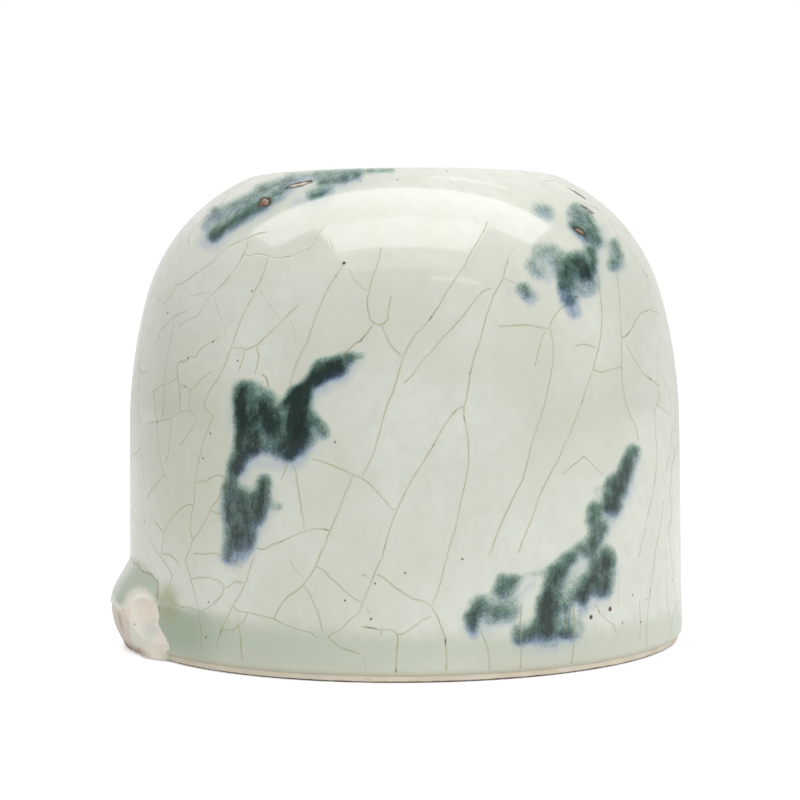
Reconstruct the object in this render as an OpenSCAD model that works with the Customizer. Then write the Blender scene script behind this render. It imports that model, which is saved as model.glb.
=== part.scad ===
// Water coupe: a small domed pot of thrown porcelain on a flat foot ring,
// glazed inside, outside and under the base, with a snapped lump of clay stuck to its foot.
// The axis of the pot is Z, the foot stands on Z = 0 and the front looks to -Y.
// Outside sizes are taken over the glaze.

/* [Pot] */
// Height from the foot to the top of the lip
pot_height = 72.5; // [66:0.5:84]
// Diameter at the foot
foot_d = 88; // [82:0.5:96]
// Lean of the straight wall from upright, in degrees
wall_lean = 0.85; // [0:0.05:2]
// Radius of the long curve that follows the wall
belly_radius = 78; // [72:1:90]
// Slope from upright at the end of the long curve, in degrees
belly_turn = 16; // [10:1:22]
// Radius of the tight curve over the shoulder
shoulder_radius = 28.3; // [26:0.1:31]
// Clear diameter of the mouth inside the lip
mouth_d = 43.4; // [38:0.2:48]
// Thickness of the clay wall
wall = 3.6; // [2.6:0.1:5]

/* [Glaze] */
// Thickness of the glaze over wall, shoulder, inside and base
glaze = 0.4; // [0.3:0.05:0.6]
// Thickness of the glaze where it has run down to the foot
foot_glaze = 0.75; // [0.65:0.05:1]
// Rounding of the lower edge of the outside glaze
glaze_edge = 1; // [0.8:0.1:1.6]

/* [Base] */
// Height of the foot edge that is bare of glaze
bare_foot = 0.9; // [0.6:0.1:1.6]
// Rounding of the bare outer edge of the foot
foot_edge = 0.4; // [0.2:0.05:0.5]
// Width of the foot ring that the pot stands on
foot_ring = 5; // [3.5:0.5:9]
// Depth of the recess inside the foot ring
recess = 2; // [1.2:0.1:3]
// Rounding in the corner of the recess
recess_corner = 1; // [0.7:0.1:1.1]
// Thickness of the clay floor above the recess
floor_t = 4.4; // [3:0.2:7]
// Rounding inside the pot between floor and wall
floor_corner = 10; // [4:1:14]

/* [Kiln lump] */
// Direction of the lump, in degrees left of the front
lump_turn = 66; // [0:1:180]
// Width of the lump along the foot
lump_w = 19; // [10:0.5:22]
// Height of the lump before its underside is cut level
lump_h = 13.5; // [8:0.5:18]
// How far the lump stands out from the foot
lump_reach = 4.5; // [3:0.5:8]
// Height of the middle of the lump
lump_rise = 5.3; // [3.5:0.1:7]
// Clearance under the lump, so that the pot stands on its foot alone
lump_lift = 0.3; // [0.2:0.1:1]
// Depth of the lump that has broken away at its tip
break_depth = 1.6; // [0.5:0.1:2.5]
// Turn of the broken face towards the front, in degrees
break_turn = 30; // [0:1:45]
// Height above which the lump has kept its glaze
break_rise = 8; // [6:0.5:9]
// Slant of the edge of that glaze, falling to the back, in degrees
break_slant = 25; // [0:1:28]

/* [Hidden] */
$fn = 128;

foot_r = foot_d / 2;
mouth_r = mouth_d / 2;
full_wall = wall + 2 * glaze;
lip_r = full_wall / 2;
lip_centre = [mouth_r + lip_r, pot_height - lip_r];

// The wall, the long curve and the tight curve run into each other without a corner, and the middle
// of the wall meets the middle of the lip. The height of the straight wall follows from that.
lip_arm = shoulder_radius - lip_r;
wall_slope = tan(wall_lean);
lip_across = lip_centre.x - foot_r + belly_radius * cos(wall_lean)
    - (belly_radius - shoulder_radius) * cos(belly_turn);
lip_up = lip_centre.y + belly_radius * sin(wall_lean) - (belly_radius - shoulder_radius) * sin(belly_turn);
lip_mix = lip_up - lip_across * wall_slope;
lip_rest = (1 + wall_slope ^ 2) * (lip_across ^ 2 + lip_up ^ 2 - lip_arm ^ 2);
wall_h = (lip_mix - sqrt(lip_mix ^ 2 - lip_rest)) / (1 + wall_slope ^ 2);

belly_centre = [foot_r - wall_h * wall_slope, wall_h] - belly_radius * heading(wall_lean);
shoulder_centre = belly_centre + (belly_radius - shoulder_radius) * heading(belly_turn);
mouth_turn = atan2(lip_centre.y - shoulder_centre.y, lip_centre.x - shoulder_centre.x);

clay_foot_r = foot_r - foot_glaze;
recess_r = clay_foot_r - foot_edge - foot_ring;
clay_floor = recess + floor_t;
far = 4 * pot_height;

function heading(turn) = [cos(turn), sin(turn)];
function on_arc(centre, radius, turn) = centre + radius * heading(turn);

// Slice between two headings from a centre, wide enough to cut any circle of the pot
module slice(centre, from, to) {
    polygon([centre, on_arc(centre, far, from), on_arc(centre, far, to)]);
}

// Half section of the pot filled to its axis, set in by depth from the outside,
// standing at bottom with that edge rounded; toe_r is the radius of its wall line at the foot plane
module filled(depth, toe_r, bottom, edge) {
    spring = on_arc(belly_centre, belly_radius - depth, wall_lean);
    seam = on_arc(belly_centre, belly_radius - depth, belly_turn);
    crown = on_arc(shoulder_centre, shoulder_radius - depth, 90);
    toe_lean = atan2(toe_r - spring.x, spring.y);
    toe = [toe_r - (bottom + edge) * tan(toe_lean) - edge / cos(toe_lean), bottom + edge];
    intersection() {
        union() {
            polygon([
                [0, bottom], [toe.x, bottom], on_arc(toe, edge, toe_lean),
                spring, seam, crown, [0, crown.y],
            ]);
            translate(toe) circle(edge);
            intersection() {
                translate(belly_centre) circle(belly_radius - depth);
                slice(belly_centre, wall_lean, belly_turn);
            }
            intersection() {
                translate(shoulder_centre) circle(shoulder_radius - depth);
                slice(shoulder_centre, belly_turn, 90);
            }
        }
        square([foot_r, pot_height + far]);
    }
}

// Half section of the recess under the base, made smaller all round by inset
module recess_section(inset) {
    corner = recess_corner - inset;
    square([recess_r - recess_corner, recess - inset]);
    square([recess_r - inset, recess - recess_corner]);
    translate([recess_r - recess_corner, recess - recess_corner]) circle(corner);
}

// Half section of the open pot between an outside and an inside, with a round lip
module open_pot(lip) {
    difference() {
        children(0);
        children(1);
        slice(shoulder_centre, mouth_turn, 90);
        polygon([shoulder_centre, [0, shoulder_centre.y], [0, far], on_arc(shoulder_centre, far, 90)]);
        recess_section(0);
    }
    translate(lip_centre) circle(lip);
}

module clay_section() {
    open_pot(wall / 2) {
        filled(glaze, clay_foot_r, 0, foot_edge);
        filled(glaze + wall, clay_foot_r - wall, clay_floor, floor_corner);
    }
}

module glazed_section() {
    open_pot(lip_r) {
        filled(0, foot_r, bare_foot, glaze_edge);
        filled(full_wall, clay_foot_r - wall - glaze, clay_floor + glaze, floor_corner - glaze);
    }
}

// The middle of the wall, which parts the outside glaze from the inside glaze at the lip
module middle_section() {
    filled(lip_r, foot_r - foot_glaze - wall / 2, 0, foot_edge);
}

// Places its children at the middle of the lump, with -Y pointing out of the wall
module at_lump() {
    rotate([0, 0, -lump_turn]) translate([0, lump_w / 2 - lump_reach - foot_r, lump_rise]) children();
}

// Half section of the lump, a bun with a round edge, grown by a coat
module lump_section(coat) {
    bun_r = lump_h / 2;
    intersection() {
        union() {
            translate([lump_w / 2 - bun_r, 0]) circle(bun_r + coat);
            translate([0, -bun_r - coat]) square([max(lump_w / 2 - bun_r, 0), lump_h + 2 * coat]);
        }
        translate([0, -far / 2]) square([far, far]);
    }
}

// Whole lump before it broke, cut level above the ground
module lump_form() {
    intersection() {
        at_lump() rotate_extrude() lump_section(0);
        translate([0, 0, lump_lift]) cylinder(r = far, h = far);
    }
}

// Piece that has broken away from the tip of the lump
module broken_tip() {
    at_lump()
        rotate([0, 0, break_turn])
            translate([0, break_depth - lump_w / 2 - far / 2, 0]) cube(far, center = true);
}

// Space above the slanting edge where the glaze of the lump has flaked off
module unflaked() {
    at_lump()
        translate([0, 0, break_rise - lump_rise])
            rotate([0, -break_slant, 0])
                translate([0, 0, far / 2]) cube(far, center = true);
}

// Thrown and turned body of the pot with its foot ring
module porcelain_body() {
    color("linen") rotate_extrude() clay_section();
}

// Glaze over the shoulder and wall, down to the bare foot
module outer_glaze() {
    color("honeydew") difference() {
        rotate_extrude() difference() {
            glazed_section();
            clay_section();
            middle_section();
        }
        lump_form();
    }
}

// Glaze over the floor and the inside of the wall, up to the lip
module inner_glaze() {
    color("mintcream") rotate_extrude() intersection() {
        difference() {
            glazed_section();
            clay_section();
        }
        middle_section();
    }
}

// Glaze in the recess under the base
module base_glaze() {
    color("azure") rotate_extrude() difference() {
        recess_section(0);
        recess_section(glaze);
        square([foot_r, glaze]);
    }
}

// Lump of clay that stuck to the foot in the kiln, snapped off at its tip
module kiln_lump() {
    color("seashell") difference() {
        lump_form();
        rotate_extrude() filled(glaze, clay_foot_r, 0, foot_edge);
        broken_tip();
    }
}

// Glaze that is left on the upper side of the lump
module lump_glaze() {
    color("darkseagreen") difference() {
        intersection() {
            at_lump() rotate_extrude() lump_section(glaze);
            unflaked();
        }
        at_lump() rotate_extrude() lump_section(0);
        rotate_extrude() filled(0, foot_r, bare_foot, glaze_edge);
        broken_tip();
    }
}

porcelain_body();
outer_glaze();
inner_glaze();
base_glaze();
kiln_lump();
lump_glaze();
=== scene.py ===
from functools import reduce
from math import atan2, ceil, cos, pi, radians, sin, sqrt, tan

import bmesh
import bpy
import numpy as np
from mathutils import Matrix, Vector, noise


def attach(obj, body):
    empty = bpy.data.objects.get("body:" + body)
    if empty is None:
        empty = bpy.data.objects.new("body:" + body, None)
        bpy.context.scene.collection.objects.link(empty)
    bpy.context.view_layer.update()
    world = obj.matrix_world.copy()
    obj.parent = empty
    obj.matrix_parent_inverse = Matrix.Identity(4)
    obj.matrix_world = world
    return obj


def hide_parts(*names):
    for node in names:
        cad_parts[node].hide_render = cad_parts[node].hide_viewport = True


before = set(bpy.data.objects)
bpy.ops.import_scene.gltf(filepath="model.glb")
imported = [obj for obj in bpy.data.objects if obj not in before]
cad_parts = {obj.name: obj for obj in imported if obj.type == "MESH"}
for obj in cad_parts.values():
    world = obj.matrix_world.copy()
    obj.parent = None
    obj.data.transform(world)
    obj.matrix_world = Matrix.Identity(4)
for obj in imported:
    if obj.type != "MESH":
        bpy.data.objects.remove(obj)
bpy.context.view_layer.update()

# Sizes of the pot in millimetres and turns in radians, as in the CAD source
POT_HEIGHT, FOOT_R, MOUTH_R = 72.5, 44.0, 21.7
WALL_LEAN, BELLY_TURN = radians(0.85), radians(16)
BELLY_R, SHOULDER_R = 78.0, 28.3
WALL, GLAZE, FOOT_GLAZE, GLAZE_EDGE = 3.6, 0.4, 0.75, 1.0
BARE_FOOT, FOOT_EDGE, FOOT_RING = 0.9, 0.4, 5.0
RECESS, RECESS_CORNER, CLAY_FLOOR, FLOOR_CORNER = 2.0, 1.0, 6.4, 10.0
LUMP_LIFT = 0.3

CLAY_FOOT_R = FOOT_R - FOOT_GLAZE
RECESS_R = CLAY_FOOT_R - FOOT_EDGE - FOOT_RING
LIP_R = WALL / 2 + GLAZE


def heading(turn):
    return np.array([cos(turn), sin(turn)])


# Straight wall, long belly curve and tight shoulder curve run into each other and into the lip
LIP = np.array([MOUTH_R + LIP_R, POT_HEIGHT - LIP_R])
wall_slope = tan(WALL_LEAN)
lip_across = LIP[0] - FOOT_R + BELLY_R * cos(WALL_LEAN) - (BELLY_R - SHOULDER_R) * cos(BELLY_TURN)
lip_up = LIP[1] + BELLY_R * sin(WALL_LEAN) - (BELLY_R - SHOULDER_R) * sin(BELLY_TURN)
lip_mix = lip_up - lip_across * wall_slope
lip_rest = (1 + wall_slope ** 2) * (lip_across ** 2 + lip_up ** 2 - (SHOULDER_R - LIP_R) ** 2)
WALL_H = (lip_mix - sqrt(lip_mix ** 2 - lip_rest)) / (1 + wall_slope ** 2)
BELLY = np.array([FOOT_R - WALL_H * wall_slope, WALL_H]) - BELLY_R * heading(WALL_LEAN)
SHOULDER = BELLY + (BELLY_R - SHOULDER_R) * heading(BELLY_TURN)
MOUTH_TURN = atan2(LIP[1] - SHOULDER[1], LIP[0] - SHOULDER[0])

# Camera of the photograph: its place in millimetres, focal length and shift of the axis in pixels, and its turns;
# the front of the pot looks to -Y
PHOTO_SIDE = 800
EYE = np.array([0.0, -312.6, 51.6])
FOCUS, PITCH, ROLL, AXIS_X = 1960.0, radians(2.62), radians(0.35), 4.39
# Distances from the camera between which a ray can meet the pot, and the step of the search
NEAR, FAR, RAY_STEP = 230.0, 330.0, 0.5


def seen_at(points):
    """Pixels at which points of the pot, in millimetres, show in the photograph."""
    x, depth, up = (np.asarray(points, float) - EYE).T
    away = depth * cos(PITCH) - up * sin(PITCH)
    across = FOCUS * x / away + AXIS_X
    down = -FOCUS * (up * cos(PITCH) + depth * sin(PITCH)) / away
    rolled = [cos(ROLL) * across + sin(ROLL) * down, cos(ROLL) * down - sin(ROLL) * across]
    return np.stack(rolled, 1) + PHOTO_SIDE / 2


def sight(px, py):
    """Direction in which the camera looks through a pixel."""
    a, b = px - PHOTO_SIDE / 2, py - PHOTO_SIDE / 2
    across = (cos(ROLL) * a - sin(ROLL) * b - AXIS_X) / FOCUS
    up = -(sin(ROLL) * a + cos(ROLL) * b) / FOCUS
    ray = np.array([across, cos(PITCH) + up * sin(PITCH), -sin(PITCH) + up * cos(PITCH)])
    return ray / np.linalg.norm(ray)


def outside_r(z):
    """Radius of the glazed outside at a height."""
    spring = BELLY[1] + BELLY_R * sin(WALL_LEAN)
    seam = BELLY[1] + BELLY_R * sin(BELLY_TURN)
    if z <= spring:
        return FOOT_R - z * wall_slope
    centre, radius = (BELLY, BELLY_R) if z <= seam else (SHOULDER, SHOULDER_R)
    rise = min(z - centre[1], 0.9999 * radius)
    return centre[0] + sqrt(radius ** 2 - rise ** 2)


def on_pot(px, py):
    """Point of the glazed outside that shows at a pixel."""
    ray = sight(px, py)

    def gap(distance):
        """Level distance from the wall at a distance along the ray; negative inside the pot."""
        point = EYE + distance * ray
        return np.hypot(point[0], point[1]) - outside_r(point[2])

    distances = np.arange(NEAR, FAR, RAY_STEP)
    for high in distances:
        if gap(high) < 0 and (EYE + high * ray)[2] < POT_HEIGHT:
            low = high - RAY_STEP
            for _ in range(18):
                mid = (low + high) / 2
                low, high = (low, mid) if gap(mid) < 0 else (mid, high)
            return EYE + mid * ray
    # Just past the edge of the pot: the nearest point of the ray to it
    return EYE + min(distances, key=gap) * ray


# Steps along the lip and along the corner of the recess, and the turn from which an edge is sharp
LIP_STEP, CORNER_STEP, SHARP = 0.3, 0.15, radians(50)


# Half sections as lists of (radius, height)
def arc(centre, radius, start, end, step):
    steps = max(ceil(radius * abs(end - start) / step), 3)
    return [np.asarray(centre) + radius * heading(turn) for turn in np.linspace(start, end, steps + 1)]


def straight(start, end, step):
    start, end = np.asarray(start, float), np.asarray(end, float)
    steps = max(ceil(np.linalg.norm(end - start) / step), 1)
    return [start + (end - start) * k / steps for k in range(steps + 1)]


def side(depth, toe_r, bottom, edge, step, cut=0.0):
    """One skin of the wall from its rounded foot edge up to the lip, set in by depth from the outside.
    Points of the foot edge inside radius cut are left out."""
    spring = BELLY + (BELLY_R - depth) * heading(WALL_LEAN)
    lean = atan2(toe_r - spring[0], spring[1])
    toe = [toe_r - (bottom + edge) * tan(lean) - edge / cos(lean), bottom + edge]
    foot = [point for point in arc(toe, edge, -pi / 2, lean, min(step, edge / 4)) if point[0] >= cut]
    return (foot + straight(foot[-1], spring, step)[1:]
            + arc(BELLY, BELLY_R - depth, WALL_LEAN, BELLY_TURN, step)[1:]
            + arc(SHOULDER, SHOULDER_R - depth, BELLY_TURN, MOUTH_TURN, step)[1:])


def lip(radius, start, end):
    """Part of the round lip, in quarter turns from its outer side."""
    return arc(LIP, radius, MOUTH_TURN + start * pi / 2, MOUTH_TURN + end * pi / 2, LIP_STEP)


def recess_corner(radius):
    return arc([RECESS_R - RECESS_CORNER, RECESS - RECESS_CORNER], radius, pi / 2, 0, CORNER_STEP)


def turned(section, front_step, back_step, closed):
    """Mesh of a half section thrown round the axis, finer over the front 200 degrees.
    An eighth of each of the two sectors is spun and then doubled three times."""
    form = bmesh.new()
    sectors = []
    for start, angle, step in ((-100, 25, front_step), (100, 20, back_step)):
        ring = [form.verts.new((r * sin(radians(start)), -r * cos(radians(start)), z)) for r, z in section]
        edges = [form.edges.new(pair) for pair in zip(ring, ring[1:] + ring[:1] if closed else ring[1:])]
        bmesh.ops.spin(form, geom=ring + edges, cent=(0, 0, 0), axis=(0, 0, 1), angle=radians(angle),
                       steps=round(FOOT_R * radians(angle) / step))
        known = {item for sector, _ in sectors for item in sector}
        sectors.append(([item for item in form.verts[:] + form.edges[:] + form.faces[:] if item not in known], angle))
    for sector, angle in sectors:
        for copies in (1, 2, 4):
            fresh = bmesh.ops.duplicate(form, geom=sector)["geom"]
            bmesh.ops.rotate(form, verts=[item for item in fresh if isinstance(item, bmesh.types.BMVert)],
                             cent=(0, 0, 0), matrix=Matrix.Rotation(radians(angle * copies), 3, "Z"))
            sector = sector + fresh
    bmesh.ops.remove_doubles(form, verts=form.verts, dist=1e-4)
    bmesh.ops.recalc_face_normals(form, faces=form.faces)
    return form


def piece(name, form, node, finish):
    """Object of a finished mesh in millimetres, in place of a CAD node."""
    for face in form.faces:
        face.smooth = True
    for edge in form.edges:
        edge.smooth = edge.calc_face_angle(0) < SHARP
    bmesh.ops.scale(form, vec=(0.001, 0.001, 0.001), verts=form.verts)
    mesh = bpy.data.meshes.new(name)
    form.to_mesh(mesh)
    form.free()
    made = bpy.data.objects.new(name, mesh)
    bpy.context.scene.collection.objects.link(made)
    mesh.materials.append(finish)
    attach(made, "root")
    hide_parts(node)
    return made


# Finishes
FLAT = (1.0, 1.0, 0.45)


class Value:
    """One output of a node. Arithmetic on it adds Math nodes to the same material."""

    def __init__(self, tree, socket=None):
        self.tree, self.socket = tree, socket

    def node(self, kind, settings, inputs, output=0):
        """Any node: its settings first, then the values or links of its sockets."""
        made = self.tree.nodes.new(kind)
        for key, value in settings.items():
            setattr(made, key, value)
        for key, value in inputs.items():
            if isinstance(value, Value):
                self.tree.links.new(value.socket, made.inputs[key])
            else:
                made.inputs[key].default_value = value
        return Value(self.tree, made.outputs[output] if len(made.outputs) else None)

    def maths(self, operation, *values):
        return self.node("ShaderNodeMath", {"operation": operation}, dict(enumerate(values)))

    def vector_maths(self, operation, inputs, output="Vector"):
        return self.node("ShaderNodeVectorMath", {"operation": operation}, inputs, output)

    def attribute(self, name, output="Vector"):
        """What a piece keeps under a name for each of its vertices."""
        return self.node("ShaderNodeAttribute", {"attribute_name": name}, {}, output)

    def __add__(self, other):
        return self.maths("ADD", self, other)

    def __sub__(self, other):
        return self.maths("SUBTRACT", self, other)

    def __rsub__(self, other):
        return self.maths("SUBTRACT", other, self)

    def __mul__(self, other):
        return self.maths("MULTIPLY", self, other)

    def __abs__(self):
        return self.maths("ABSOLUTE", self)

    __radd__ = __add__

    def least(self, other):
        return self.maths("MINIMUM", self, other)

    def most(self, other):
        return self.maths("MAXIMUM", self, other)

    def between(self, low, high, start=0.0, end=1.0):
        """Smooth step from start at low to end at high."""
        return self.node("ShaderNodeMapRange", {"interpolation_type": "SMOOTHSTEP"},
                         {"Value": self, "From Min": low, "From Max": high, "To Min": start, "To Max": end})

    def grain(self, scale, detail=2.0, rough=0.5, output="Fac"):
        """Noise from 0 to 1, with scale in grains per millimetre."""
        return self.node("ShaderNodeTexNoise", {"noise_dimensions": "3D"},
                         {"Vector": self, "Scale": scale, "Detail": detail, "Roughness": rough}, output)

    def split(self):
        """The three parts of a vector."""
        parts = self.node("ShaderNodeSeparateXYZ", {}, {"Vector": self}).socket.node
        return [Value(self.tree, part) for part in parts.outputs]

    def over(self, under, colour):
        """Colour laid over another one where this value is 1."""
        return self.node("ShaderNodeMix", {"data_type": "RGBA"}, {0: self, 6: under, 7: colour}, 2)

    def shifted(self, offset, scale):
        return self.node("ShaderNodeMapping", {"vector_type": "POINT"},
                         {"Vector": self, "Location": offset, "Scale": scale}, "Vector")

    def flattened(self):
        """The same place with its heights drawn together, for marks that are taller than wide."""
        return self.shifted((0.0, 0.0, 0.0), FLAT)


def tint(*screen):
    """Linear colour of screen values from 11 to 255."""
    return tuple(((level / 255 + 0.055) / 1.055) ** 2.4 for level in screen) + (1.0,)


def new_finish(name):
    """Empty material, and the place on the piece in millimetres as a Value."""
    made = bpy.data.materials.new(name)
    made.use_nodes = True
    made.node_tree.nodes.clear()
    coords = Value(made.node_tree).node("ShaderNodeTexCoord", {}, {}, "Object")
    return made, coords.vector_maths("SCALE", {0: coords, "Scale": 1000.0})


def close_finish(made, colour, height, **sockets):
    """Principled shader with the colour, a height in millimetres for bump, and the other sockets."""
    bump = height.node("ShaderNodeBump", {}, {"Strength": 1.0, "Distance": 0.001, "Height": height}, "Normal")
    shader = height.node("ShaderNodeBsdfPrincipled", {}, {"Base Color": colour, "Normal": bump, **sockets}, "BSDF")
    shader.node("ShaderNodeOutputMaterial", {}, {"Surface": shader})
    return made


def close_glaze(made, place, colour, cracks=None):
    """Glossy shader of a glaze, a little wavy and with cracks that lie lower."""
    height = place.grain(0.16) * 0.05 + place.grain(0.9) * 0.006
    return close_finish(made, colour, height if cracks is None else height - cracks * 0.02, Roughness=0.085, IOR=1.5)


# Splashes of cobalt, given in pixels of the photograph's frame, each a soft dab of the brush:
# start, end, half width, strength, and where it isn't green its blueness
MIDDLE_SPLASH = [
    (243, 390, 245, 420, 9, 0.8), (240, 398, 243, 440, 6, 0.9, 0.2), (249, 420, 248, 446, 13, 0.92),
    (243, 448, 237, 466, 8.5, 0.95, 0.2), (235, 466, 230, 487, 5.5, 0.9), (252, 388, 268, 397, 8, 0.35, 0.3),
    (262, 405, 275, 420, 7, 0.5, 0.3), (265, 426, 283, 440, 9, 0.75), (262, 445, 286, 453, 9, 0.55, 0.2),
    (257, 404, 273, 426, 10, 0.6, 0.1), (236, 500, 243, 542, 13, 0.4, 0.5), (230, 490, 228, 512, 8, 0.45, 0.3),
    (233, 520, 235, 542, 8.5, 0.7), (231, 548, 229, 557, 6, 0.5, 0.5), (245, 500, 241, 532, 6, 0.35, 0.2),
    (299, 398, 296, 425, 12, 0.95), (301, 424, 297, 437, 11, 0.95), (293, 424, 291, 456, 4, 1.3),
    (312, 418, 323, 432, 7, 0.5), (309, 440, 301, 449, 7, 0.5, 0.2), (300, 396, 314, 379, 7, 0.95),
    (287, 402, 300, 392, 4, 0.85), (271, 417, 287, 401, 2, 0.7), (318, 378, 327, 369, 8, 0.95),
    (322, 370, 338, 368, 9.5, 1.0), (338, 362, 348, 358, 5.5, 0.8), (350, 359, 361, 356, 3, 0.45),
    (264, 482, 262, 497, 6.5, 0.95), (260, 500, 256, 516, 9, 0.95), (252, 520, 249, 536, 7, 0.65, 0.3),
    (268, 505, 279, 507, 3, 0.45), (272, 408, 288, 446, 12, 0.3, 0.1), (244, 500, 236, 552, 15, 0.26, 0.4),
    (300, 404, 294, 448, 6, 1.22),
]
MIDDLE_HALO = [
    (250, 463, 292, 466, 6), (325, 392, 352, 370, 4), (240, 549, 262, 528, 6), (222, 558, 234, 566, 5),
    (229, 398, 230, 432, 1.5),
]
LOWER_SPLASH = [
    (633, 452, 623, 476, 7, 0.9), (628, 462, 622, 490, 4, 0.95), (614, 485, 612, 506, 9, 1.1),
    (597, 488, 591, 510, 4, 0.2), (595, 510, 593, 521, 7.5, 0.7), (599, 531, 590, 551, 8.5, 0.75),
    (582, 547, 572, 557, 7, 0.5), (567, 561, 559, 572, 8.5, 0.66), (556, 574, 549, 601, 10.5, 0.76),
    (548, 604, 545, 628, 11.5, 0.9), (534, 631, 571, 635, 4.5, 0.97, 0.5), (521, 639, 535, 633, 6.5, 0.85),
    (518, 631, 517, 638, 4, 0.6), (538, 643, 554, 645, 3, 0.5), (607, 553, 609, 560, 7, 0.8),
    (602, 566, 601, 587, 12, 0.9), (587, 582, 583, 598, 6.5, 0.92), (584, 604, 583, 611, 4, 0.45, 0.8),
    (576, 593, 564, 606, 6.5, 0.45), (566, 608, 566, 628, 8, 0.28, 0.3), (503, 580, 499, 590, 6, 0.78),
    (507, 591, 513, 582, 7, 0.66), (518, 578, 541, 572, 3.5, 0.3), (482, 604, 471, 617, 6, 0.66),
    (471, 619, 473, 625, 6.5, 0.72, 0.2), (480, 612, 509, 612, 8, 0.42), (490, 622, 506, 618, 5, 0.38),
    (470, 628, 474, 634, 5, 0.4, 0.9), (478, 606, 512, 606, 13, 0.24, 0.3), (522, 632, 575, 628, 13, 0.24, 0.4),
    (560, 600, 600, 572, 14, 0.22, 0.2), (604, 520, 622, 480, 12, 0.22, 0.2),
]
LOWER_HALO = [
    (609, 518, 624, 505, 4), (570, 576, 588, 559, 4), (518, 597, 533, 583, 4), (474, 632, 512, 619, 5),
    (587, 609, 610, 591, 5), (540, 650, 555, 650, 4),
]
RIGHT_SPLASH = [
    (586, 214, 593, 230, 4.5, 0.72, 0.2), (576, 207, 580, 223, 5, 0.36, 0.4), (573, 226, 586, 237, 4.5, 0.8),
    (589, 234, 597, 242, 4, 0.8), (597, 242, 594, 250, 3.5, 0.75), (588, 250, 594, 260, 3, 1.25),
    (577, 262, 584, 270, 11.5, 0.82), (587, 273, 590, 268, 6, 0.88, 0.3), (565, 274, 565, 285, 6.5, 0.88),
    (566, 288, 569, 299, 7.5, 0.62, 0.9), (565, 264, 567, 267, 2, 0.8), (614, 242, 619, 254, 3, 0.55),
    (611, 264, 612, 267, 4, 0.72), (617, 258, 618, 262, 3, 0.45), (544, 252, 553, 248, 4, 0.32),
    (529, 265, 532, 263, 3, 0.38), (536, 274, 537, 275, 5, 0.28, 0.3), (523, 289, 526, 294, 4, 0.75),
    (541, 210, 546, 210, 4.5, 0.28, 0.3), (571, 302, 573, 309, 5, 0.22, 0.9), (538, 209, 548, 213, 9, 0.3, 0.4),
    (540, 252, 556, 256, 11, 0.3, 0.3), (532, 266, 541, 272, 9, 0.28, 0.4), (566, 268, 586, 284, 15, 0.42, 0.3),
    (523, 290, 532, 298, 9, 0.3, 0.6), (576, 214, 592, 236, 11, 0.4, 0.4), (613, 246, 618, 264, 8, 0.36, 0.3),
    (566, 296, 575, 313, 9, 0.28, 0.9),
]
RIGHT_HALO = [
    (549, 259, 552, 258, 6), (529, 298, 531, 298, 5), (548, 278, 554, 269, 6), (585, 285, 588, 285, 7),
    (571, 307, 573, 310, 5), (599, 265, 599, 268, 3), (621, 264, 623, 266, 4), (545, 215, 548, 217, 5),
    (600, 228, 602, 240, 4),
]
LEFT_SPLASH = [
    (214, 235, 265, 204, 5.5, 0.9), (213, 238, 216, 234, 4, 0.95, 0.3), (204, 227, 214, 213, 5, 0.36, 0.7),
    (215, 210, 216, 211, 1.5, 0.6, 0.5), (218, 214, 252, 198, 8, 0.28, 0.8), (232, 206, 255, 195, 1, 0.6),
    (260, 188, 288, 180, 4.5, 0.48, 0.5), (260, 190, 264, 189, 3, 0.62), (274, 194, 288, 187, 2, 0.75),
    (270, 202, 280, 198, 4, 0.42), (291, 177, 358, 174, 4.5, 0.32, 0.5), (322, 183, 344, 180, 3.5, 0.78),
    (346, 177, 357, 176, 3, 0.62), (311, 196, 330, 191, 3.5, 0.55), (312, 197, 323, 194, 1, 0.8),
    (309, 192, 325, 188, 4, 0.3, 0.4), (370, 171, 392, 170, 1.2, 0.75), (316, 173, 372, 170.5, 1.0, 0.5),
    (212, 222, 290, 186, 9, 0.2, 0.5), (296, 180, 358, 175, 5, 0.18, 0.5),
]
LEFT_HALO = [
    (204, 244, 206, 244, 5), (211, 244, 213, 243, 4), (295, 202, 309, 199, 5), (206, 233, 207, 235, 4),
]
# Each with the strength of its ink
FRONT_SPLASHES = [
    (MIDDLE_SPLASH, MIDDLE_HALO, 1.02), (LOWER_SPLASH, LOWER_HALO, 0.8),
    (RIGHT_SPLASH, RIGHT_HALO, 0.66), (LEFT_SPLASH, LEFT_HALO, 0.78),
]
# Splashes that the photograph doesn't show: the same kinds, turned round the pot by these degrees
BACK_SPLASHES = [(1, 95), (0, -110), (2, 70), (3, 180), (2, 215)]
# Softness in pixels of the edges of ink, of the wash round it, of the halo and of the drift of halo below the ink
INK_SOFT, WASH_SOFT, HALO_SOFT, DRIFT_SOFT = 6.2, 11.0, 12.0, 14.0
WASH_STRENGTH, HALO_STRENGTH = 0.4, 0.9
DRIFT = np.array([3.0, 7.0])
# Where the ink is stronger this many pixels further up than down, it is bluer
BLUE_STEP = np.array([0.0, 7.0])
# Pixels that a dab loses all round, and as the surface turns away from the camera
DAB_LOSS, TURN_LOSS = 1.4, 70.0


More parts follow.
